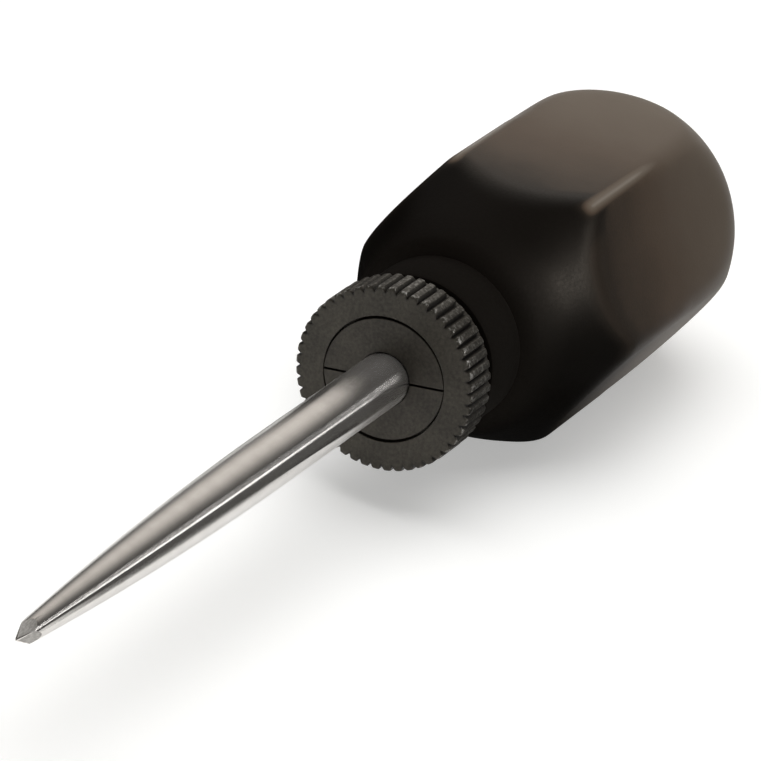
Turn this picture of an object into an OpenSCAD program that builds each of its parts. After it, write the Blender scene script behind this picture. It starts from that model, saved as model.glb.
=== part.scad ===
// Tyre prodder: a round steel spike held by a two-jaw chuck in a moulded hexagonal handle.
// The tool's axis runs along X: the spike points to -X, the handle to +X, and +Z is up.
// It lies on one flat of the handle. The origin is in that plane, under the middle of the tool.
// Distances along the tool, named _x, are counted from the nut's front face towards the handle.

/* [Spike] */
// Diameter of the spike in front of the jaws
spike_d = 6; // [5:0.1:7.5]
// Step in radius from the spike down to the shank that the jaws hold
shank_step = 0.25; // [0.2:0.05:0.5]
// Depth inside the nut's front face at which the spike has narrowed to its shank
shank_depth = 0.6; // [0.3:0.1:1]
// Length of the spike in front of the nut, to the point
spike_reach = 86; // [70:0.5:110]
// Length of the straight part in front of the nut
spike_straight = 27; // [20:1:40]
// Diameter of the taper's small end, before the point is ground on it
spike_end_d = 1.9; // [1.5:0.1:3]
// Angle between a ground facet and the axis
point_angle = 18; // [14:1:26]
// Number of ground facets
point_facets = 4; // [3:1:6]
// Turn of the ridge between two facets, measured from +Y towards +Z
point_turn = 145; // [0:5:355]
// Chamfer on the shank's rear end
shank_chamfer = 0.6; // [0.2:0.1:1]

/* [Jaws] */
// Thickness of the jaws at their face, from the bore to the rim
jaw_wall = 4; // [3.5:0.05:4.8]
// Length of the shoulder that the nut's lip bears on
jaw_shoulder = 1.2; // [0.9:0.1:1.6]
// Angle between the jaws' taper and the axis
jaw_taper = 12; // [9:0.5:15]
// Length of the taper
jaw_taper_length = 11.4; // [9:0.1:14]
// Width of the split between the closed jaws
jaw_split = 0.26; // [0.2:0.02:0.6]
// Turn of the split, measured from +Y towards +Z
split_turn = 170; // [0:1:180]
// Distance of the spring from the jaws' rear end
spring_setback = 3; // [1:0.1:5]
// Width of the spring along the axis
spring_width = 1.2; // [0.8:0.1:1.6]
// Thickness of the spring's wire
spring_wire = 0.85; // [0.6:0.05:1]
// Angle left open between the spring's ends
spring_open = 50; // [30:5:90]

/* [Nut] */
// Width of the ring in which the nut's lip bears on the jaws' shoulder
lip_bearing = 1.1; // [0.8:0.05:1.5]
// Thickness of the lip
nut_lip = 1.8; // [1.4:0.1:2.4]
// Thickness of the nut between its thread and the bottom of the knurl
nut_wall = 1.41; // [1.1:0.01:2.5]
// Pitch of the thread: the nut goes this far in one turn
thread_pitch = 1.25; // [1:0.05:1.5]
// Length of the knurled band
knurl_length = 5.3; // [4.4:0.1:7]
// Number of teeth in the knurl
knurl_teeth = 48; // [36:1:60]
// Depth of a knurl groove
knurl_depth = 0.5; // [0.3:0.05:0.6]
// Share of each tooth's pitch taken up by its flat crest
knurl_crest = 0.5; // [0.3:0.05:0.6]
// Length of the plain collar behind the knurl
nut_collar = 1.5; // [0.8:0.1:2.5]

/* [Stem] */
// Thickness of the stem round the jaws' seat, where it enters the handle
stem_wall = 1.4; // [1:0.1:2]
// Thickness of the anchor shank round the bore
anchor_wall = 3.7; // [2.6:0.05:4.6]
// Length of the anchor shank
anchor_length = 31; // [25:1:38]
// Height of the ribs that hold the anchor in the moulding
rib_height = 1.1; // [0.6:0.1:1.6]
// Number of ribs
rib_count = 3; // [1:1:4]
// Length of each rib
rib_length = 3; // [2:0.5:4]
// Solid end of the stem behind the spike
stem_end = 2; // [1.5:0.5:4]

/* [Handle] */
// Width of the handle across two opposite flats
handle_flats = 30; // [25:0.5:38]
// Depth to which the six long edges are rounded off
edge_cut = 0.46; // [0.2:0.02:0.8]
// Length of the handle from its neck to the end of the dome
handle_length = 66; // [55:1:90]
// Thickness of the moulding round the stem at the neck
neck_wall = 2; // [1.4:0.1:2.6]
// Chamfer on the neck's front edge
neck_edge = 0.5; // [0.2:0.1:1]
// Length of the neck
neck_length = 6.6; // [4:0.2:9]
// Step in radius from the neck to the nose
nose_step = 2.1; // [1.2:0.1:3]
// Radius of the nose's front rim
nose_rim_r = 4.6; // [3:0.2:6]
// Angle between the nose's cone and the axis
nose_taper = 23; // [16:1:35]
// Length of the domed end
dome_length = 25.6; // [16:0.2:32]
// Fullness of the dome: 2 is an ellipse, and more is blunter
dome_fullness = 2.8; // [2:0.1:3.6]

/* [Clearances] */
// Radial gap of the nut on its thread and of the shank in its bore
running_gap = 0.05; // [0.02:0.01:0.1]
// Gap between the jaws' taper and its seat in the stem, measured along the radius
taper_gap = 0.06; // [0.04:0.01:0.1]
// Gap between faces that slide over each other
face_gap = 0.06; // [0.04:0.01:0.2]
// Gap between the nut and the jaws when they are fully open
open_gap = 0.08; // [0.05:0.01:0.2]
// Gap left around pieces that stay clear of each other
free_gap = 0.15; // [0.1:0.01:0.3]
// Gap between the stem and the moulding round it
moulding_gap = 0.02; // [0.01:0.01:0.05]
// Free space between the nut and the handle's neck with the jaws closed
neck_gap = 0.8; // [0.4:0.1:2]

/* [Hidden] */
$fn = 96;
eps = 0.01;
taper_steps = 24;
rim_steps = 12;
dome_steps = 28;
dome_turn = 88;

// Jaws: one turn of the nut lets them forward by the pitch, and apart along their taper
jaw_travel = thread_pitch;
jaw_opening = jaw_travel * tan(jaw_taper);
spike_r = spike_d / 2;
shank_r = spike_r - shank_step;
bore_r = shank_r + running_gap;
recess_r = spike_r + running_gap;
recess_x = shank_depth + jaw_travel + free_gap;
jaw_face_r = bore_r + jaw_wall;
lip_r = jaw_face_r + jaw_opening + open_gap;
shoulder_r = lip_r + lip_bearing;
shoulder_x = nut_lip + face_gap;
taper_x = shoulder_x + jaw_shoulder;
jaw_end_x = taper_x + jaw_taper_length;
taper_top_r = jaw_face_r + 2 * free_gap;
function jaw_taper_r(x) = taper_top_r - (x - taper_x) * tan(jaw_taper);
spring_x = jaw_end_x - spring_setback - spring_width;
spring_r = bore_r + free_gap;

// Nut: it clears the open jaws and runs on the stem
nut_bore_r = shoulder_r + jaw_opening + open_gap;
thread_r = nut_bore_r - running_gap;
groove_r = nut_bore_r + nut_wall;
nut_r = groove_r + knurl_depth;
nut_length = knurl_length + nut_collar;

// Stem: threaded mouth with the jaws' seat, anchor and blind bore
neck_x = nut_length + neck_gap;
mouth_x = taper_x + 2 * free_gap;
seat_end_x = jaw_end_x + 2 * free_gap;
collar_r = jaw_taper_r(neck_x) + taper_gap + stem_wall;
anchor_r = bore_r + anchor_wall;
stem_end_x = seat_end_x + anchor_length;
rib_pitch = anchor_length / (rib_count + 1);
socket_end_x = stem_end_x - stem_end;

// Spike: its shank stops against the end of the stem's bore
shank_end_x = socket_end_x - face_gap;
spike_end_r = spike_end_d / 2;
taper_length = spike_reach - spike_straight;
function spike_taper_r(t) = spike_end_r + (spike_r - spike_end_r) * (1 - pow(1 - t, 2));

// Handle
neck_r = collar_r + moulding_gap + neck_wall;
nose_r = neck_r + nose_step;
nose_x = neck_x + neck_length;
handle_end_x = neck_x + handle_length;
hexagon_r = handle_flats / 2 / cos(30);
sleeve_r = hexagon_r - edge_cut;
dome_x = handle_end_x - dome_length;

// Place of the nut's front face: the tool lies on a flat, with its middle over the origin
axis_place = [(spike_reach - handle_end_x) / 2, 0, handle_flats / 2];

// Turns a shape drawn with Z as its axis so that its axis is X, and flat X and Y become Y and Z
module along_x() rotate([90, 0, 90]) children();

// Moves a piece from the tool's axis to its place on the flat
module placed() translate(axis_place) children();

// A round bar along X from x0 to x1
module bar_x(r, x0, x1) translate([x0, 0, 0]) along_x() cylinder(r = r, h = x1 - x0);

// A solid turned about X from [radius, x] points
module turned(points) along_x() rotate_extrude() polygon(points);

// Turned envelope that rounds the hexagon's nose, long edges and domed end
module handle_envelope() {
    rim_turn = 90 - nose_taper;
    rim_x = nose_x + nose_rim_r;
    rim_r = nose_r - nose_rim_r;
    rim = [for (i = [0:rim_steps]) let (a = rim_turn * i / rim_steps)
        [rim_r + nose_rim_r * sin(a), rim_x - nose_rim_r * cos(a)]];
    cone_start = rim[rim_steps];
    cone_end_x = cone_start[1] + (sleeve_r - cone_start[0]) / tan(nose_taper);
    dome = [for (i = [0:dome_steps]) let (a = dome_turn * i / dome_steps)
        [sleeve_r * pow(cos(a), 2 / dome_fullness),
         dome_x + dome_length * pow(sin(a) / sin(dome_turn), 2 / dome_fullness)]];
    turned(concat([[0, nose_x]], rim, [[sleeve_r, cone_end_x]], dome, [[0, handle_end_x]]));
}

// Outside of the stem inside the handle, grown by a gap
module stem_anchor(gap) {
    bar_x(collar_r + gap, neck_x - eps, seat_end_x + gap);
    bar_x(anchor_r + gap, seat_end_x, stem_end_x + gap);
    for (i = [1:rib_count]) {
        rib_x = seat_end_x + i * rib_pitch - rib_length / 2;
        bar_x(anchor_r + rib_height + gap, rib_x - gap, rib_x + rib_length + gap);
    }
}

// Moulded in one piece round the stem
module handle_grip() {
    color([0.13, 0.11, 0.10]) placed()
    difference() {
        union() {
            intersection() {
                translate([neck_x, 0, 0]) along_x() cylinder(r = hexagon_r, h = handle_length, $fn = 6);
                handle_envelope();
            }
            turned([[0, neck_x], [neck_r - neck_edge, neck_x], [neck_r, neck_x + neck_edge],
                    [neck_r, nose_x + nose_rim_r], [0, nose_x + nose_rim_r]]);
        }
        stem_anchor(moulding_gap);
    }
}

// Turned steel: the nut's thread in front, the jaws' seat inside it, ribs in the moulding
module chuck_stem() {
    mouth_r = jaw_taper_r(mouth_x) + taper_gap;
    seat_end_r = jaw_taper_r(seat_end_x) + taper_gap;
    color([0.45, 0.45, 0.46]) placed()
    difference() {
        union() {
            stem_anchor(0);
            bar_x(thread_r, mouth_x, neck_x);
        }
        turned([[0, mouth_x - eps], [mouth_r, mouth_x - eps], [mouth_r, mouth_x],
                [seat_end_r, seat_end_x], [0, seat_end_x]]);
        bar_x(bore_r, seat_end_x - eps, socket_end_x);
    }
}

// One jaw: half of a turned cone with a shoulder, bored for the shank, with a recess for the spike
// in its face and a groove for the spring inside
module jaw(turn) {
    difference() {
        turned([[recess_r, face_gap], [jaw_face_r, face_gap], [jaw_face_r, shoulder_x],
                [shoulder_r, shoulder_x], [shoulder_r, taper_x], [taper_top_r, taper_x],
                [jaw_taper_r(jaw_end_x), jaw_end_x], [bore_r, jaw_end_x],
                [bore_r, recess_x], [recess_r, recess_x]]);
        bar_x(spring_r + spring_wire + free_gap, spring_x - free_gap, spring_x + spring_width + free_gap);
        rotate([turn, 0, 0]) translate([0, -nut_r, -nut_r])
            cube([jaw_end_x + eps, 2 * nut_r, nut_r + jaw_split / 2]);
    }
}

module jaw_upper() color([0.30, 0.29, 0.27]) placed() jaw(split_turn - 180);

module jaw_lower() color([0.30, 0.29, 0.27]) placed() jaw(split_turn);

// Open ring that presses both jaws outwards from the groove inside them
module jaw_spring() {
    color([0.55, 0.55, 0.57]) placed()
    rotate([split_turn + spring_open / 2, 0, 0]) along_x()
    rotate_extrude(angle = 360 - spring_open)
    translate([spring_r, spring_x]) square([spring_wire, spring_width]);
}

// Outline of the knurl: flat crests with a narrow groove between two teeth
module knurl_outline() {
    tooth = 360 / knurl_teeth;
    crest = tooth * knurl_crest / 2;
    steps = [[nut_r, -crest], [nut_r, crest], [groove_r, tooth / 2]];
    polygon([for (i = [0:knurl_teeth - 1]) for (step = steps)
        step[0] * [cos(i * tooth + step[1]), sin(i * tooth + step[1])]]);
}

module knurled_nut() {
    color([0.25, 0.24, 0.22]) placed()
    difference() {
        union() {
            along_x() linear_extrude(knurl_length) knurl_outline();
            bar_x(groove_r - knurl_depth, knurl_length - eps, nut_length);
        }
        bar_x(lip_r, -eps, nut_lip + eps);
        bar_x(nut_bore_r, nut_lip, nut_length + eps);
    }
}

// Turned bar, drawn to a curved taper, with flat facets ground on its point
module spike() {
    taper = [for (i = [0:taper_steps]) let (t = i / taper_steps)
        [spike_taper_r(t), t * taper_length - spike_reach]];
    color([0.72, 0.70, 0.68]) placed()
    difference() {
        turned(concat([[0, -spike_reach]], taper,
                      [[spike_r, -free_gap], [shank_r, shank_depth],
                       [shank_r, shank_end_x - shank_chamfer],
                       [shank_r - shank_chamfer, shank_end_x], [0, shank_end_x]]));
        for (i = [0:point_facets - 1])
            rotate([point_turn + (i + 0.5) * 360 / point_facets, 0, 0])
            translate([-spike_reach, 0, 0]) rotate([0, 0, point_angle])
            translate([-spike_d, 0, -spike_d]) cube([4 * spike_d, spike_d, 2 * spike_d]);
    }
}

handle_grip();
chuck_stem();
jaw_upper();
jaw_lower();
jaw_spring();
knurled_nut();
spike();
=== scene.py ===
import math
import bmesh
import bpy
from mathutils import Matrix, Vector


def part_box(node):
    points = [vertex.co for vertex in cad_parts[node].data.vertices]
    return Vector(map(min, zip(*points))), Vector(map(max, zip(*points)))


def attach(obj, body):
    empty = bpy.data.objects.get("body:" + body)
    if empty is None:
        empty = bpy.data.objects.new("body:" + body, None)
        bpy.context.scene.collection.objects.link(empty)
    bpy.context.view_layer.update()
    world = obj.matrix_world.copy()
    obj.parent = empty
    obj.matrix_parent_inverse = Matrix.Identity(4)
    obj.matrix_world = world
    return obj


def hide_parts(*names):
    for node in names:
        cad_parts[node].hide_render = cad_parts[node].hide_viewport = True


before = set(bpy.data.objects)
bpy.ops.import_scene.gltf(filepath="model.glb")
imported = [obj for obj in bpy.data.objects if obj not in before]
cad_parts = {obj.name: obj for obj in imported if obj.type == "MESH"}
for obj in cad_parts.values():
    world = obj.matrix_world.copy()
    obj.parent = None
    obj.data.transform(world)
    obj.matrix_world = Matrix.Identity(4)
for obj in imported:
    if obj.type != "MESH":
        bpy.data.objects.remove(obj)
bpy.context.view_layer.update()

# Place of the tool: it lies along X on one flat of its handle, with the spike towards -X. The tool's
# sizes are in millimetres, and places along it count from the nut's front face towards the handle.
mm = 0.001
handle_low, handle_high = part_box("handle_grip")
face_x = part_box("knurled_nut")[0].x
axis_z = (handle_low.z + handle_high.z) / 2
face_centre = Vector((face_x, 0, axis_z))


def along(corner):
    """Place along the tool of a corner in the frame."""
    return (corner.x - face_x) / mm


# Chuck stem: turned from steel bar. The nut's right-hand thread is cut on its mouth, the jaws' taper
# and the spike's bore are inside it, and its ribbed shank is held fast in the handle's moulding.
stem_low, stem_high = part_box("chuck_stem")
mouth_x = along(stem_low)
stem_end_x = along(stem_high)
neck_x = along(handle_low)
thread_end_x = neck_x - 0.02
thread_r = (stem_high.z - axis_z) / mm
thread_pitch = 1.25
thread_depth = 0.6
thread_flank = (0.1, 0.85)
thread_rows = 44
thread_runout = 0.5
collar_x = neck_x - 0.01
collar_r = 7.59
anchor_x = 14.76
anchor_r = 6.5
ribs = 3
rib_r = 7.6
rib_length = 3.0
rib_pitch = 7.75
rib_starts = [anchor_x + (rib + 1) * rib_pitch - rib_length / 2 for rib in range(ribs)]
bore_r = 2.8
bore_end_x = stem_end_x - 2
seat_mouth_r = 7.09
seat_end_r = 4.68
stem_chamfer = 0.3
stem_steps = 96
weld_distance = 0.001
tolerance = 0.01
noise_range = (0.3, 0.7)
stem_dark = (0.30, 0.29, 0.28)
stem_bright = (0.50, 0.49, 0.48)
stem_tones = (0.2, 0.8)
stem_roughness = (0.42, 0.26)


def turned(profile, steps, closed=False):
    """Spins an outline of (place along the tool, radius) points once round the tool's axis."""
    shape = bmesh.new()
    rim = [shape.verts.new((face_x + x * mm, 0, axis_z + r * mm)) for x, r in profile]
    ends = rim[1:] + rim[:1] if closed else rim[1:]
    lines = [shape.edges.new(pair) for pair in zip(rim, ends)]
    bmesh.ops.spin(shape, geom=rim + lines, cent=(0, 0, axis_z), axis=(1, 0, 0),
                   angle=2 * math.pi, steps=steps, use_merge=True)
    bmesh.ops.remove_doubles(shape, verts=shape.verts, dist=weld_distance * mm)
    bmesh.ops.recalc_face_normals(shape, faces=shape.faces)
    return shape


def polar(vert):
    """Place along the tool, radius and turn of a vertex, the turn measured from +Y towards +Z."""
    y = vert.co.y / mm
    z = (vert.co.z - axis_z) / mm
    return (vert.co.x - face_x) / mm, math.hypot(y, z), math.atan2(z, y)


def press(vert, radius, turn):
    """Moves a vertex to a new radius and turn about the tool's axis."""
    vert.co.y = radius * mm * math.cos(turn)
    vert.co.z = axis_z + radius * mm * math.sin(turn)


def spread(first, last, rows):
    """Evenly spaced values from first to last, both included."""
    return [first + (last - first) * i / rows for i in range(rows + 1)]


def share(value, low, high):
    """How far value lies from low to high, from 0 to 1, with soft ends."""
    t = min(max((value - low) / (high - low), 0), 1)
    return t * t * (3 - 2 * t)


def thread_cut(x, turn):
    """Depth of the helical groove of a right-hand thread, from 0 at its crest to 1 at its root."""
    phase = (x / thread_pitch - turn / (2 * math.pi)) % 1
    return share(1 - abs(2 * phase - 1), *thread_flank)


stem_outline = [(bore_end_x, 0), (bore_end_x, bore_r), (anchor_x, bore_r), (anchor_x, seat_end_r),
                (mouth_x + stem_chamfer, seat_mouth_r), (mouth_x, seat_mouth_r + stem_chamfer),
                (mouth_x, thread_r - stem_chamfer)]
stem_outline += [(x, thread_r) for x in spread(mouth_x + stem_chamfer, thread_end_x, thread_rows)]
stem_outline += [(collar_x, collar_r), (anchor_x, collar_r), (anchor_x, anchor_r)]
for rib_x in rib_starts:
    rib_end_x = rib_x + rib_length
    stem_outline += [(rib_x, anchor_r), (rib_x, rib_r - stem_chamfer), (rib_x + stem_chamfer, rib_r),
                     (rib_end_x - stem_chamfer, rib_r), (rib_end_x, rib_r - stem_chamfer),
                     (rib_end_x, anchor_r)]
stem_outline += [(stem_end_x - stem_chamfer, anchor_r), (stem_end_x, anchor_r - stem_chamfer),
                 (stem_end_x, 0)]
stem = turned(stem_outline, stem_steps)
for vert in stem.verts:
    x, radius, turn = polar(vert)
    if radius > thread_r - tolerance:
        runout = share(x, mouth_x, mouth_x + thread_runout) * share(neck_x - x, 0, thread_runout)
        press(vert, radius - thread_depth * runout * thread_cut(x, turn), turn)


def shader(name):
    """A new material with its node tree and its surface shader."""
    material = bpy.data.materials.new(name)
    material.use_nodes = True
    tree = material.node_tree
    return material, tree, tree.nodes["Principled BSDF"]


def add(tree, kind, inputs=(), **settings):
    """Adds a node. Each input takes a plain value or another node's output."""
    made = tree.nodes.new(kind)
    for name, value in settings.items():
        setattr(made, name, value)
    for socket, value in dict(inputs).items():
        if isinstance(value, bpy.types.NodeSocket):
            tree.links.new(value, made.inputs[socket])
        else:
            made.inputs[socket].default_value = value
    return made


def tool_place(tree, stretch=(1, 1, 1)):
    """Object coordinates in millimetres, centred on the tool's axis at the nut's face."""
    place = add(tree, "ShaderNodeTexCoord").outputs["Object"]
    centre = (-face_x / mm * stretch[0], 0, -axis_z / mm * stretch[2])
    scale = [s / mm for s in stretch]
    return add(tree, "ShaderNodeMapping", {"Vector": place, "Location": centre, "Scale": scale}).outputs[0]


def noise(tree, place, scale, detail=3.0, roughness=0.5):
    """Soft random pattern from 0 to 1, with its scale in features per millimetre."""
    return add(tree, "ShaderNodeTexNoise", {"Vector": place, "Scale": scale, "Detail": detail,
                                            "Roughness": roughness}).outputs[0]


def mapped(tree, value, source, target=(0, 1)):
    """A value brought from its source range to a target range, and kept inside that."""
    return add(tree, "ShaderNodeMapRange", {"Value": value, "From Min": source[0], "From Max": source[1],
                                            "To Min": target[0], "To Max": target[1]}).outputs[0]


def maths(tree, operation, first, second):
    """One arithmetic step on two values."""
    return add(tree, "ShaderNodeMath", {0: first, 1: second}, operation=operation).outputs[0]


def weighed(tree, *terms):
    """Sum of (value, weight) terms."""
    parts = [maths(tree, "MULTIPLY", value, weight) for value, weight in terms]
    total = parts[0]
    for part in parts[1:]:
        total = maths(tree, "ADD", total, part)
    return total


def ramp(tree, value, stops):
    """Colours along a value, given as (place, colour) stops."""
    made = add(tree, "ShaderNodeValToRGB", {"Fac": value})
    elements = made.color_ramp.elements
    while len(elements) < len(stops):
        elements.new(0.5)
    for element, (place, colour) in zip(elements, stops):
        element.position = place
        element.color = (*colour, 1)
    return made.outputs["Color"]


def bumped(tree, surface, height, depth):
    """Gives a surface relief from a height of 0 to 1, with its depth in millimetres."""
    bump = add(tree, "ShaderNodeBump", {"Height": height, "Distance": depth * mm, "Strength": 1})
    tree.links.new(bump.outputs[0], surface.inputs["Normal"])


def finished(shape, name, material, sharp_angle):
    """Makes an object of a shape, shaded smooth except at edges sharper than the angle."""
    mesh = bpy.data.meshes.new(name)
    shape.to_mesh(mesh)
    shape.free()
    mesh.shade_smooth()
    mesh.set_sharp_from_angle(angle=math.radians(sharp_angle))
    mesh.materials.append(material)
    piece = bpy.data.objects.new(name, mesh)
    bpy.context.scene.collection.objects.link(piece)
    return piece


stem_steel, tree, surface = shader("turned_stem_steel")
tool_marks = noise(tree, tool_place(tree, stretch=(1, 0.02, 0.02)), scale=5.0, detail=2.0)
stain = noise(tree, tool_place(tree), scale=0.35, detail=4.0)
stem_tone = weighed(tree, (mapped(tree, tool_marks, noise_range), 0.5), (stain, 0.5))
stem_colour = ramp(tree, stem_tone, list(zip(stem_tones, (stem_dark, stem_bright))))
tree.links.new(stem_colour, surface.inputs["Base Color"])
tree.links.new(mapped(tree, stem_tone, stem_tones, stem_roughness), surface.inputs["Roughness"])
surface.inputs["Metallic"].default_value = 1
bumped(tree, surface, tool_marks, depth=0.02)
turned_stem = finished(stem, "turned_stem", stem_steel, sharp_angle=35)
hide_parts("chuck_stem")
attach(turned_stem, "handle")

# Handle grip: brown-black plastic, moulded in one piece round the stem. It is a hexagon with rounded
# long edges, a round nose with a plain neck in front, and a domed end. The nose and the neck are left
# black, and the flats are painted lighter brown as painted sheen, lightest towards the rear, so the
# light and shade between them is painted. The upper long edges carry a painted highlight over their wear.
sides = 6
half_side = math.pi / sides
flat_r = (handle_high.z - handle_low.z) / 2 / mm
corner_r = handle_high.y / mm
handle_end_x = along(handle_high)
edge_fillet = (flat_r / math.cos(half_side) - corner_r) / (1 / math.cos(half_side) - 1)
moulding_gap = 0.02
collar_gap = 0.025
neck_r = 9.615
neck_edge = 0.5
neck_edge_middle = 0.15
nose_rim_x = 18.8
nose_rim_centre = 7.115
nose_rim_r = 4.6
nose_taper = math.radians(23)
beyond_edges_r = corner_r + 2
dome_length = 25.6
dome_fullness = 2.8
dome_r = corner_r + 0.25
dome_x = handle_end_x - dome_length
body_end_x = dome_x - 2
rim_rows = 14
cone_rows = 44
body_rows = 12
dome_rows = 60
grip_steps = 192
crease_blend = 0.9
crowding = 0.6

# Where the painted sheen and the painted highlights come in. Fades run past the crease between nose and
# flats, which is at 0. Other places are to the right of the axis, above or below it, along the tool or
# before the dome.
top_fade = (-0.2, 1.4)
top_fade_lean = 0.09
top_fade_limit = -6
side_fade = (-1.4, 2.0)
side_begins = (8.4, 11)
low_fade = (-0.3, 0.7)
low_begins = (0, 3)
sheen_all_round = (31, 42)
edge_wear_highlight_begins = (-0.8, 0.4)
edge_wear_highlight_height = (-5, 10)
edge_wear_highlight_ends = (-14, 6)
crease_highlight = 0.28
crease_highlight_begins = (-1.0, 0.1)
sheen_grows = (24, 62)
sheen_share = (0.16, 0.82)
most_edge_highlight = 0.92
grain_range = (0.35, 0.65)
nose_black = (0.0025, 0.0018, 0.0014)
dark_brown_sheen = (0.012, 0.0085, 0.006)
middle_brown_sheen = (0.082, 0.058, 0.041)
pale_brown_sheen = (0.140, 0.113, 0.087)
worn_edge_highlight = (0.29, 0.258, 0.22)
handle_roughness = (0.42, 0.5)
worn_gloss = -0.1
neck_matt = 0.4
neck_fade = (14, 21)

rim_turn = math.pi / 2 - nose_taper
neck_meets_rim = math.asin((neck_r - nose_rim_centre) / nose_rim_r)
cone_x = nose_rim_x - nose_rim_r * math.cos(rim_turn)
cone_r = nose_rim_centre + nose_rim_r * math.sin(rim_turn)
cone_length = (beyond_edges_r - cone_r) / math.tan(nose_taper)
cavity_r = anchor_r + moulding_gap
cavity_rib_r = rib_r + moulding_gap
cavity_x = anchor_x + moulding_gap
cavity_end_x = stem_end_x + moulding_gap
cavity = [(neck_x, collar_r + collar_gap), (cavity_x, collar_r + collar_gap), (cavity_x, cavity_r)]
for rib_x in rib_starts:
    groove_x = rib_x - moulding_gap
    groove_end_x = rib_x + rib_length + moulding_gap
    cavity += [(groove_x, cavity_r), (groove_x, cavity_rib_r), (groove_end_x, cavity_rib_r),
               (groove_end_x, cavity_r)]
cavity += [(cavity_end_x, cavity_r), (cavity_end_x, 0)]
handle_outline = cavity[::-1]
handle_outline += [(neck_x, neck_r - neck_edge), (neck_x + neck_edge_middle, neck_r - neck_edge_middle),
                   (neck_x + neck_edge, neck_r)]
handle_outline += [(nose_rim_x - nose_rim_r * math.cos(a), nose_rim_centre + nose_rim_r * math.sin(a))
                   for a in spread(neck_meets_rim, rim_turn, rim_rows)]
handle_outline += [(cone_x + cone_length * t, cone_r + (beyond_edges_r - cone_r) * t)
                   for t in spread(0, 1, cone_rows)[1:]]
handle_outline += [(x, beyond_edges_r) for x in spread(cone_x + cone_length, body_end_x, body_rows)[1:]]
handle_outline += [(dome_x + dome_length * math.sin(a) ** (2 / dome_fullness),
                    dome_r * max(math.cos(a), 0) ** (2 / dome_fullness))
                   for a in spread(0, math.pi / 2, dome_rows)]


def hexagon_at(turn):
    """Radius of the rounded hexagon at a turn, and how far that is up a rounded edge, from 0 to 1."""
    from_flat = abs(turn % (2 * half_side) - half_side)
    fillet_centre = (flat_r - edge_fillet) / math.cos(half_side)
    flat_end = math.atan((flat_r - edge_fillet) * math.tan(half_side) / flat_r)
    if from_flat < flat_end:
        return flat_r / math.cos(from_flat), 0
    from_corner = half_side - from_flat
    across = fillet_centre * math.sin(from_corner)
    radius = fillet_centre * math.cos(from_corner) + math.sqrt(edge_fillet ** 2 - across ** 2)
    return radius, share(from_flat, flat_end, half_side)


grip = turned(handle_outline, grip_steps)
wear_and_highlight = grip.verts.layers.float.new("wear_and_highlight")
painted_sheen = grip.verts.layers.float.new("painted_sheen")
# Presses the turned outline into the hexagon, rounds the crease and marks where sheen and highlights are
# painted.
for vert in grip.verts:
    x, radius, turn = polar(vert)
    if radius < neck_r - neck_edge and x < dome_x:
        continue
    crowded = turn - crowding * math.sin(sides * turn) / sides
    hexagon, on_edge = hexagon_at(crowded)
    past_crease = radius - hexagon
    closeness = max(crease_blend - abs(past_crease), 0) / crease_blend
    press(vert, min(radius, hexagon) - closeness ** 2 * crease_blend / 4, crowded)
    sideways = vert.co.y / mm
    height = (vert.co.z - axis_z) / mm
    on_side = share(-sideways, *side_begins)
    on_low = share(-height, *low_begins)
    # Painted sheen: on the flats behind the crease, later on the side flat, earlier on the low flat, and
    # all round towards the rear.
    top_sheen = share(past_crease + top_fade_lean * max(sideways, top_fade_limit), *top_fade)
    side_sheen = share(past_crease, *side_fade) * (1 - on_low) + share(past_crease, *low_fade) * on_low
    vert[painted_sheen] = max(top_sheen * (1 - on_side) + side_sheen * on_side, share(x, *sheen_all_round))
    # A painted highlight over wear along the upper long edges, and a painted highlight on the side flat
    # just behind the crease.
    long_edge = on_edge * share(past_crease, *edge_wear_highlight_begins) * share(height, *edge_wear_highlight_height)
    crease = crease_highlight * share(past_crease, *crease_highlight_begins) * on_side * (1 - on_low)
    vert[wear_and_highlight] = max(long_edge * share(dome_x - x, *edge_wear_highlight_ends), crease)


def attribute(tree, name):
    """A value that the mesh carries under a name."""
    return add(tree, "ShaderNodeAttribute", attribute_name=name).outputs["Fac"]


handle_plastic, tree, surface = shader("handle_plastic")
place = tool_place(tree)
along_tool = add(tree, "ShaderNodeSeparateXYZ", {"Vector": place}).outputs["X"]
edge_wear_highlight = attribute(tree, "wear_and_highlight")
cloud = noise(tree, place, scale=0.09, detail=4.0)
grain = noise(tree, place, scale=3.2, roughness=0.6)
# Painted sheen: brown that grows lighter towards the rear, with random cloud and grain, only where the
# sheen is painted.
sheen_tone = weighed(tree, (mapped(tree, along_tool, sheen_grows, sheen_share), 1),
                  (mapped(tree, cloud, noise_range, (-1, 1)), 0.05),
                  (mapped(tree, grain, grain_range, (-1, 1)), 0.03))
sheen_tone = maths(tree, "MULTIPLY", sheen_tone, attribute(tree, "painted_sheen"))
# The painted highlight over wear on the upper long edges lies on top of the painted sheen.
sheen_tone = maths(tree, "MAXIMUM", sheen_tone, maths(tree, "MULTIPLY", edge_wear_highlight, most_edge_highlight))
handle_colour = ramp(tree, sheen_tone, [(0.0, nose_black), (0.2, dark_brown_sheen), (0.5, middle_brown_sheen),
                                     (0.85, pale_brown_sheen), (1.0, worn_edge_highlight)])
tree.links.new(handle_colour, surface.inputs["Base Color"])
matt = weighed(tree, (mapped(tree, grain, noise_range, handle_roughness), 1), (edge_wear_highlight, worn_gloss),
               (mapped(tree, along_tool, neck_fade, (1, 0)), neck_matt))
tree.links.new(matt, surface.inputs["Roughness"])
surface.inputs["Specular IOR Level"].default_value = 0.2
surface.inputs["Specular Tint"].default_value = (1, 0.87, 0.72, 1)
bumped(tree, surface, grain, depth=0.012)
moulded_grip = finished(grip, "moulded_grip", handle_plastic, sharp_angle=40)
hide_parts("handle_grip")
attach(moulded_grip, "handle")

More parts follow.
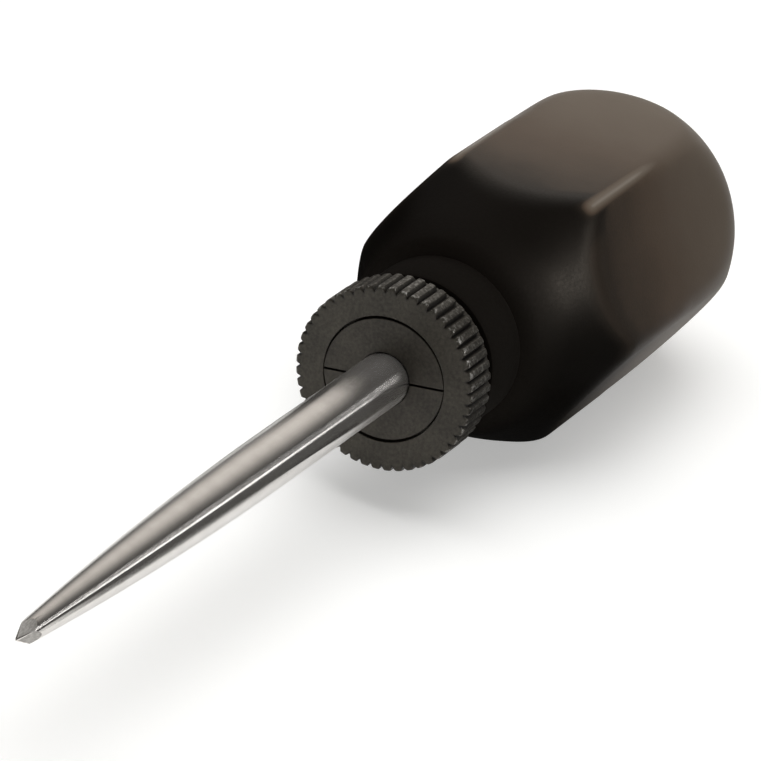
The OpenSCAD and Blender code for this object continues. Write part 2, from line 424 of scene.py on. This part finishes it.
# Chuck jaws: one blackened steel cone with a shoulder, bored for the spike's shank and sawn into two
# halves. They lie in the stem's taper, and the nut's lip holds them by the shoulder. Each half's
# front rim is a wider circle set back by its opening, so that it lies even in the lip when open.
jaw_face_x = along(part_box("jaw_upper")[0])
jaw_end_x = along(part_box("jaw_upper")[1])
jaw_face_r = 6.85
jaw_opening = 0.266
jaw_edge = 0.05
jaw_steps = 144
shoulder_r = 8.246
shoulder_x = 1.86
taper_x = 3.06
taper_top_r = 7.1
taper_end_r = 4.677
recess_r = 3.05
recess_x = 2.0
groove_r = 3.95
groove_front_x = 10.11
groove_back_x = 11.61
saw_width = 0.26
saw_turn = math.radians(170)
cut_distance = 0.0001
jaw_dark = (0.023, 0.020, 0.016)
jaw_pale = (0.050, 0.044, 0.035)
jaw_roughness = (0.5, 0.38)
jaw_outline = [(jaw_face_x, recess_r + jaw_edge), (jaw_face_x, jaw_face_r - jaw_edge),
               (jaw_face_x + jaw_edge, jaw_face_r), (shoulder_x, jaw_face_r),
               (shoulder_x, shoulder_r - jaw_edge), (shoulder_x + jaw_edge, shoulder_r),
               (taper_x - jaw_edge, shoulder_r), (taper_x, shoulder_r - jaw_edge), (taper_x, taper_top_r),
               (jaw_end_x, taper_end_r), (jaw_end_x, bore_r), (groove_back_x, bore_r),
               (groove_back_x, groove_r), (groove_front_x, groove_r), (groove_front_x, bore_r),
               (recess_x, bore_r), (recess_x, recess_r), (jaw_face_x + jaw_edge, recess_r)]

jaw_steel, tree, surface = shader("blackened_jaw_steel")
place = tool_place(tree)
mottle = noise(tree, place, scale=2.6, detail=5.0, roughness=0.65)
stain = noise(tree, place, scale=0.3)
jaw_tone = weighed(tree, (mottle, 0.6), (stain, 0.4))
jaw_colour = ramp(tree, jaw_tone, [(0.35, jaw_dark), (0.65, jaw_pale)])
tree.links.new(jaw_colour, surface.inputs["Base Color"])
tree.links.new(mapped(tree, mottle, noise_range, jaw_roughness), surface.inputs["Roughness"])
surface.inputs["Metallic"].default_value = 0.5
bumped(tree, surface, mottle, depth=0.015)


def cut_off(shape, place, outward):
    """Cuts away what lies beyond a plane, and gives the edges round the cut."""
    bmesh.ops.bisect_plane(shape, geom=shape.verts[:] + shape.edges[:] + shape.faces[:],
                           dist=cut_distance * mm, plane_co=place, plane_no=outward, clear_outer=True)
    return [edge for edge in shape.edges if edge.is_boundary]


for jaw_name, node, body, way in [("upper_jaw", "jaw_upper", "jaw_top", 1),
                                  ("lower_jaw", "jaw_lower", "jaw_bottom", -1)]:
    jaw = turned(jaw_outline, jaw_steps, closed=True)
    towards = Vector((0, math.sin(saw_turn), -math.cos(saw_turn))) * way
    open_turn = math.atan2(towards.z, towards.y)
    for vert in jaw.verts:
        x, radius, turn = polar(vert)
        if jaw_face_r - jaw_edge - tolerance < radius < jaw_face_r + tolerance:
            across = jaw_opening * math.sin(turn - open_turn)
            set_back = jaw_opening * math.cos(turn - open_turn)
            press(vert, math.sqrt((radius + jaw_opening) ** 2 - across ** 2) - set_back, turn)
    sawn = cut_off(jaw, face_centre + towards * saw_width / 2 * mm, -towards)
    bmesh.ops.triangle_fill(jaw, edges=sawn, use_beauty=True, normal=-towards)
    bmesh.ops.recalc_face_normals(jaw, faces=jaw.faces)
    sawn_jaw = finished(jaw, jaw_name, jaw_steel, sharp_angle=30)
    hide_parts(node)
    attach(sawn_jaw, body)

# Jaw spring: an open ring of flat drawn wire in the groove inside the jaws. It presses them apart,
# and it lies where the record puts it, so its own solid stays and only gets its finish.
spring_dark = (0.34, 0.34, 0.35)
spring_bright = (0.52, 0.52, 0.54)
spring_roughness = (0.36, 0.24)
spring_steel, tree, surface = shader("drawn_spring_steel")
die_lines = noise(tree, tool_place(tree, stretch=(8, 0.6, 0.6)), scale=1.0, detail=2.0)
spring_colour = ramp(tree, die_lines, list(zip(noise_range, (spring_dark, spring_bright))))
tree.links.new(spring_colour, surface.inputs["Base Color"])
tree.links.new(mapped(tree, die_lines, noise_range, spring_roughness), surface.inputs["Roughness"])
surface.inputs["Metallic"].default_value = 1
bumped(tree, surface, die_lines, depth=0.01)
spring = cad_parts["jaw_spring"]
spring.data.materials.clear()
spring.data.materials.append(spring_steel)

# Knurled nut: blackened steel, worn on its teeth, with a painted highlight on the worn lands and painted
# shade in the grooves. Its lip holds the jaws by their shoulder, its inside carries the stem's thread,
# and straight grooves are rolled into its rim.
nut_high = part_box("knurled_nut")[1]
nut_r = (nut_high.z - axis_z) / mm
nut_end_x = along(nut_high)
nut_edge = 0.35
face_rows = 8
edge_rows = 5
knurl_end_x = 5.3
knurl_teeth = 48
knurl_depth = 0.5
knurl_rows = 14
knurl_floor_r = nut_r - knurl_depth - nut_edge
tooth_steps = 12
half_tooth = 0.5
groove_start = 0.24
land_crown = 0.12
rim_fall = 0.6
nut_collar_r = 9.5
nut_collar_chamfer = 0.2
lip_r = 7.146
lip_edge = 0.05
lip_x = 1.8
nut_bore_r = 8.591
nut_bore_chamfer = 0.3
wear_highlight_fade = (0, 1.2)
wear_highlight_loss = 0.6
patch_range = (0.4, 0.6)
most_patch = 0.5
nut_groove_shade = (0.008, 0.007, 0.006)
nut_dark = (0.024, 0.021, 0.0165)
nut_pale = (0.053, 0.047, 0.037)
nut_bare_highlight = (0.30, 0.29, 0.27)
nut_roughness = (0.5, 0.36)
bore_start_x = nut_end_x - nut_bore_chamfer
nut_outline = [(0, r) for r in spread(lip_r + lip_edge, nut_r - nut_edge, face_rows)]
nut_outline += [(nut_edge * (1 - math.cos(a)), nut_r - nut_edge + nut_edge * math.sin(a))
                for a in spread(0, math.pi / 2, edge_rows)[1:]]
nut_outline += [(x, nut_r) for x in spread(nut_edge, knurl_end_x - nut_edge, knurl_rows)[1:]]
nut_outline += [(knurl_end_x, nut_r - nut_edge), (knurl_end_x, nut_collar_r),
                (nut_end_x - nut_collar_chamfer, nut_collar_r),
                (nut_end_x, nut_collar_r - nut_collar_chamfer),
                (nut_end_x, nut_bore_r + nut_bore_chamfer), (bore_start_x, nut_bore_r)]
nut_outline += [(x, nut_bore_r) for x in spread(bore_start_x, lip_x, thread_rows)[1:]]
nut_outline += [(lip_x, lip_r), (lip_edge, lip_r)]
nut = turned(nut_outline, knurl_teeth * tooth_steps, closed=True)
wear_and_highlight = nut.verts.layers.float.new("wear_and_highlight")
groove_shade = nut.verts.layers.float.new("groove_shade")
# Rolls the grooves into the rim, marks the worn lands for a painted highlight and the grooves for
# painted shade, and cuts the thread inside.
for vert in nut.verts:
    x, radius, turn = polar(vert)
    if radius > knurl_floor_r and x < knurl_end_x + tolerance:
        from_land = abs((turn * knurl_teeth / (2 * math.pi) + half_tooth) % 1 - half_tooth)
        groove = share(from_land, groove_start, half_tooth)
        crown = land_crown * (from_land / half_tooth) ** 2
        tooth_r = nut_r - crown - (knurl_depth - land_crown) * groove
        on_rim = share(radius, nut_r - nut_edge, nut_r)
        vert[wear_and_highlight] = on_rim * (1 - wear_highlight_loss * share(x, *wear_highlight_fade)) * (1 - groove)
        # Marks the grooves for painted shade.
        vert[groove_shade] = groove * share(radius, knurl_floor_r, nut_r)
        press(vert, min(radius, tooth_r - (nut_r - radius) * rim_fall), turn)
    elif nut_bore_r - tolerance < radius < nut_bore_r + tolerance and x > lip_x:
        runout = share(x, lip_x, lip_x + thread_runout) * share(nut_end_x - x, 0, thread_runout)
        press(vert, radius + thread_depth * runout * (1 - thread_cut(x, turn)), turn)

nut_steel, tree, surface = shader("blackened_nut_steel")
place = tool_place(tree)
mottle = noise(tree, place, scale=2.4, detail=5.0, roughness=0.65)
stain = noise(tree, place, scale=0.25)
patchy = mapped(tree, mottle, patch_range, (0, most_patch))
# Painted highlight on the worn lands, lightest at the front rim, and painted shade in the grooves.
nut_tone = weighed(tree, (mottle, 0.6), (stain, 0.4), (attribute(tree, "wear_and_highlight"), patchy),
                   (attribute(tree, "groove_shade"), -0.4))
nut_colour = ramp(tree, nut_tone, [(0.05, nut_groove_shade), (0.35, nut_dark), (0.65, nut_pale), (1.0, nut_bare_highlight)])
tree.links.new(nut_colour, surface.inputs["Base Color"])
tree.links.new(mapped(tree, mottle, noise_range, nut_roughness), surface.inputs["Roughness"])
surface.inputs["Metallic"].default_value = 0.5
bumped(tree, surface, mottle, depth=0.015)
knurled_ring = finished(nut, "knurled_ring", nut_steel, sharp_angle=40)
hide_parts("knurled_nut")
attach(knurled_ring, "nut")

# Spike: polished steel bar. It is straight near the chuck, drawn to a curved taper in front and
# ground to a four-sided point, with a thinner shank that the jaws hold. The polish runs along it
# and dulls towards the chuck, and the ground facets are darker.
spike_low, spike_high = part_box("spike")
tip_x = along(spike_low)
shank_end_x = along(spike_high)
spike_r = (spike_high.z - axis_z) / mm
straight_x = -27
shoulder_front_x = -0.15
shoulder_back_x = 0.6
tip_r = 0.95
taper_rows = 48
straight_rows = 12
spike_steps = 128
point_angle = math.radians(18)
point_turn = math.radians(145)
point_facets = 4
facet_tolerance = 0.02
point_weld = 0.002
ridge_round = 0.18
ridge_segments = 2
shank_r = 2.75
shank_chamfer = 0.6
facet_steel = (0.30, 0.285, 0.265)
dull_steel = (0.66, 0.635, 0.61)
bright_steel = (0.76, 0.735, 0.71)
dull_part = (-24, -1)
dull_range = (0.3, 1)
dull_metal = (1, 0.85)
speck_range = (0.55, 0.75)
spike_roughness = (0.15, 0.19)
spike_outline = [(tip_x, 0)]
spike_outline += [(tip_x + (straight_x - tip_x) * t, tip_r + (spike_r - tip_r) * (1 - (1 - t) ** 2))
                  for t in spread(0, 1, taper_rows)]
spike_outline += [(x, spike_r) for x in spread(straight_x, shoulder_front_x, straight_rows)[1:]]
spike_outline += [(shoulder_back_x, shank_r), (shank_end_x - shank_chamfer, shank_r),
                  (shank_end_x, shank_r - shank_chamfer), (shank_end_x, 0)]


def is_facet(face):
    """Whether a face is one of the ground facets, by its lean towards the tip."""
    return abs(face.normal.x + math.sin(point_angle)) < facet_tolerance


bar = turned(spike_outline, spike_steps)
tip = Vector((face_x + tip_x * mm, 0, axis_z))
for facet in range(point_facets):
    facet_turn = point_turn + (facet + 0.5) * 2 * math.pi / point_facets
    out = Vector((-math.sin(point_angle), math.cos(point_angle) * math.cos(facet_turn),
                  math.cos(point_angle) * math.sin(facet_turn)))
    bmesh.ops.edgenet_fill(bar, edges=cut_off(bar, tip, out))
bmesh.ops.remove_doubles(bar, verts=bar.verts, dist=point_weld * mm)
bmesh.ops.recalc_face_normals(bar, faces=bar.faces)
ground = bar.faces.layers.float.new("ground")
ridges = [edge for edge in bar.edges if all(is_facet(face) for face in edge.link_faces)]
bmesh.ops.bevel(bar, geom=ridges, offset=ridge_round * mm, affect="EDGES", segments=ridge_segments,
                profile=0.5, material=-1)
bar.normal_update()
for face in bar.faces:
    face[ground] = 1 if is_facet(face) else 0

spike_steel, tree, surface = shader("polished_spike_steel")
place = tool_place(tree)
along_tool = add(tree, "ShaderNodeSeparateXYZ", {"Vector": place}).outputs["X"]
dulled = mapped(tree, along_tool, dull_part)
ground_finish = attribute(tree, "ground")
draw_lines = noise(tree, tool_place(tree, stretch=(0.12, 3.0, 3.0)), scale=2.4, detail=4.0, roughness=0.6)
cloud = noise(tree, place, scale=0.4, detail=4.0)
specks = noise(tree, place, scale=5.0, roughness=0.6)
steel_tone = weighed(tree, (draw_lines, 0.5), (cloud, 0.5), (ground_finish, -0.3))
spike_colour = ramp(tree, steel_tone, [(0.1, facet_steel), (0.35, dull_steel), (0.65, bright_steel)])
tree.links.new(spike_colour, surface.inputs["Base Color"])
spike_polish = weighed(tree, (mapped(tree, draw_lines, noise_range, spike_roughness), 1),
                       (mapped(tree, specks, speck_range), 0.03), (dulled, 0.04), (ground_finish, 0.15))
tree.links.new(spike_polish, surface.inputs["Roughness"])
spike_metal = weighed(tree, (mapped(tree, dulled, dull_range, dull_metal), 1), (ground_finish, -0.55))
tree.links.new(spike_metal, surface.inputs["Metallic"])
round_axis = add(tree, "ShaderNodeTangent", direction_type="RADIAL", axis="X").outputs[0]
tree.links.new(round_axis, surface.inputs["Tangent"])
surface.inputs["Anisotropic"].default_value = 0.97
surface.inputs["Anisotropic Rotation"].default_value = 0.25
bumped(tree, surface, draw_lines, depth=0.0015)
ground_spike = finished(bar, "ground_spike", spike_steel, sharp_angle=25)
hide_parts("spike")
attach(ground_spike, "spike")

# Camera: a long lens in front of the spike, a little to its side and above it, rolled so that the
# tool rises to the right. The picture is square, and the scale is in its pixels per millimetre.
picture_size = 761
view_side = math.radians(19.91)
view_height = math.radians(23.79)
view_roll = math.radians(12.74)
view_distance = 717 * mm
view_scale = 9.273
view_shift = (2.661, -0.956)
sensor = 36
backward = Vector((-math.cos(view_height) * math.cos(view_side),
                   -math.cos(view_height) * math.sin(view_side), math.sin(view_height)))
level = Vector((0, 0, 1)).cross(backward).normalized()
upright = backward.cross(level)
right = level * math.cos(view_roll) + upright * math.sin(view_roll)
up = upright * math.cos(view_roll) - level * math.sin(view_roll)
lens = bpy.data.cameras.new("camera")
lens.sensor_width = sensor
lens.lens = sensor * view_scale * view_distance / mm / picture_size
lens.clip_start = 0.01
lens.clip_end = 100
camera = bpy.data.objects.new("camera", lens)
eye = face_centre + backward * view_distance
eye += (up * view_shift[1] - right * view_shift[0]) / view_scale * mm
camera.matrix_world = Matrix((right, up, backward)).transposed().to_4x4()
camera.location = eye
bpy.context.scene.collection.objects.link(camera)
bpy.context.scene.camera = camera

# Floor: a wide pale sheet under the handle's lower flat, sized in metres. It shows white to the
# camera and in the steel, it is whitest far off, and it keeps the tool's shadow.
floor_size = 8
floor_parts = 8
floor_gap = 0.02
floor_glow = 0.4
far_glow = 0.6
far_off = (0.3, 1.2)
floor_shape = bmesh.new()
bmesh.ops.create_grid(floor_shape, x_segments=floor_parts, y_segments=floor_parts, size=floor_size / 2)
bmesh.ops.translate(floor_shape, verts=floor_shape.verts, vec=(0, 0, handle_low.z - floor_gap * mm))
floor_paper, tree, surface = shader("floor_paper")
rays = add(tree, "ShaderNodeLightPath").outputs
seen = maths(tree, "MAXIMUM", rays["Is Camera Ray"], rays["Is Glossy Ray"])
seen = maths(tree, "MAXIMUM", seen, rays["Is Transmission Ray"])
floor_place = add(tree, "ShaderNodeTexCoord").outputs["Object"]
from_tool = add(tree, "ShaderNodeVectorMath", {0: floor_place}, operation="LENGTH").outputs["Value"]
far = maths(tree, "MULTIPLY", mapped(tree, from_tool, far_off), rays["Is Camera Ray"])
floor_light = weighed(tree, (seen, floor_glow), (far, far_glow))
tree.links.new(floor_light, surface.inputs["Emission Strength"])
surface.inputs["Emission Color"].default_value = (1, 1, 0.99, 1)
surface.inputs["Base Color"].default_value = (0.77, 0.77, 0.76, 1)
surface.inputs["Roughness"].default_value = 0.9
surface.inputs["Specular IOR Level"].default_value = 0
floor = finished(floor_shape, "floor", floor_paper, sharp_angle=30)

# Studio light, in metres: a sheet overhead and a low fill in front give the plain level, and a panel
# behind lights the handle. Two more panels and a strip show only in reflections, and so do the four
# cards beside and under the tool.
tool_middle = Vector((0, 0, axis_z))
panel_core = 0.02
panel_rim = 0.5
panel_middle = (0.5, 0.5, 0)
strip_turn = math.radians(162)
strip_out = 0.3
strip_along = 0.5
strip_aim = Vector((strip_along, 0, axis_z))
strip_place = strip_aim + Vector((0, math.cos(strip_turn), math.sin(strip_turn))) * strip_out
card_parts = 4
card_dark = 0.03
card_upright = math.pi / 2
card_lying = 0


def lamp(name, place, size, watts, aim=tool_middle, colour=(1, 1, 1), core=None):
    """An area lamp turned to its aim and hidden from the camera, even or fading outwards from a core."""
    light = bpy.data.lights.new(name, "AREA")
    light.shape = "RECTANGLE"
    light.size = size[0]
    light.size_y = size[1]
    light.energy = watts
    light.color = colour
    made = bpy.data.objects.new(name, light)
    facing = (place - aim).to_track_quat("Z", "Y")
    made.matrix_world = Matrix.Translation(place) @ facing.to_matrix().to_4x4()
    made.visible_camera = False
    bpy.context.scene.collection.objects.link(made)
    if core:
        light.use_nodes = True
        tree = light.node_tree
        across = add(tree, "ShaderNodeNewGeometry").outputs["Parametric"]
        from_middle = add(tree, "ShaderNodeVectorMath", {0: across, 1: panel_middle},
                          operation="DISTANCE").outputs["Value"]
        ranges = {"Value": from_middle, "From Min": core, "From Max": panel_rim, "To Min": 1, "To Max": 0}
        fade = add(tree, "ShaderNodeMapRange", ranges, interpolation_type="SMOOTHSTEP").outputs[0]
        tree.links.new(fade, tree.nodes["Emission"].inputs["Strength"])
    return made


def card(name, size, tilt, place, brightness, fade=None):
    """A card beside the tool that only reflections see, even or fading from dark along the tool."""
    card_shape = bmesh.new()
    bmesh.ops.create_grid(card_shape, x_segments=card_parts, y_segments=1, size=0.5)
    bmesh.ops.scale(card_shape, verts=card_shape.verts, vec=(*size, 1))
    bmesh.ops.rotate(card_shape, verts=card_shape.verts, matrix=Matrix.Rotation(tilt, 3, "X"))
    bmesh.ops.translate(card_shape, verts=card_shape.verts, vec=place)
    paper, tree, surface = shader(name + "_paper")
    surface.inputs["Base Color"].default_value = (0, 0, 0, 1)
    surface.inputs["Roughness"].default_value = 0.9
    surface.inputs["Specular IOR Level"].default_value = 0
    surface.inputs["Emission Color"].default_value = (1, 0.98, 0.95, 1)
    surface.inputs["Emission Strength"].default_value = brightness
    if fade:
        card_place = add(tree, "ShaderNodeTexCoord").outputs["Object"]
        along_card = add(tree, "ShaderNodeSeparateXYZ", {"Vector": card_place}).outputs["X"]
        glow = mapped(tree, along_card, fade, (card_dark, brightness))
        tree.links.new(glow, surface.inputs["Emission Strength"])
    made = finished(card_shape, name, paper, sharp_angle=30)
    made.visible_camera = False
    made.visible_diffuse = False
    made.visible_shadow = False


sheet = lamp("overhead_sheet", Vector((0.05, 0.06, 0.8)), size=(0.9, 0.9), watts=6.5)
sheet.visible_glossy = False
fill = lamp("front_fill", Vector((-0.6, -0.06, 0.035)), size=(0.4, 0.06), watts=1.3)
fill.visible_glossy = False
lamp("rear_panel", tool_middle + Vector((0.85, 0.2, 0.47)), size=(1.5, 1.3), watts=5.2,
     colour=(1, 0.95, 0.89), core=panel_core)
side_panel = lamp("side_panel", tool_middle + Vector((0.196, -0.574, 0.35)), size=(0.22, 0.22),
                  watts=1.8)
side_panel.visible_diffuse = False
front_panel = lamp("front_panel", tool_middle + Vector((-0.8, 0.1, 0.5)), size=(1.0, 0.8), watts=2.0,
                   core=panel_core)
front_panel.visible_diffuse = False
strip = lamp("strip", strip_place, size=(0.5, 0.024), watts=0.11, aim=strip_aim)
strip.visible_diffuse = False
card("right_card", (0.12, 0.021), card_upright, (0.021, -0.028, 0.0105), brightness=0.1)
card("left_card", (0.045, 0.028), card_upright, (0.0425, 0.022, 0.014), brightness=0.01)
card("side_card", (0.14, 0.05), card_upright, (0.13, -0.045, 0.03), brightness=0.03)
card("under_card", (0.136, 0.1), card_lying, (0.088, 0, 0.1 * mm), brightness=0.8, fade=(0.042, 0.075))

# World: a faint warm light from all round, which the camera sees as a white backdrop.
world_light = 0.1
backdrop_white = 1
world = bpy.data.worlds.new("studio")
world.use_nodes = True
bpy.context.scene.world = world
tree = world.node_tree
background = tree.nodes["Background"]
background.inputs["Color"].default_value = (1, 0.97, 0.93, 1)
camera_rays = add(tree, "ShaderNodeLightPath").outputs["Is Camera Ray"]
world_strength = mapped(tree, camera_rays, (0, 1), (world_light, backdrop_white))
tree.links.new(world_strength, background.inputs["Strength"])
bpy.context.scene.view_settings.view_transform = "Standard"
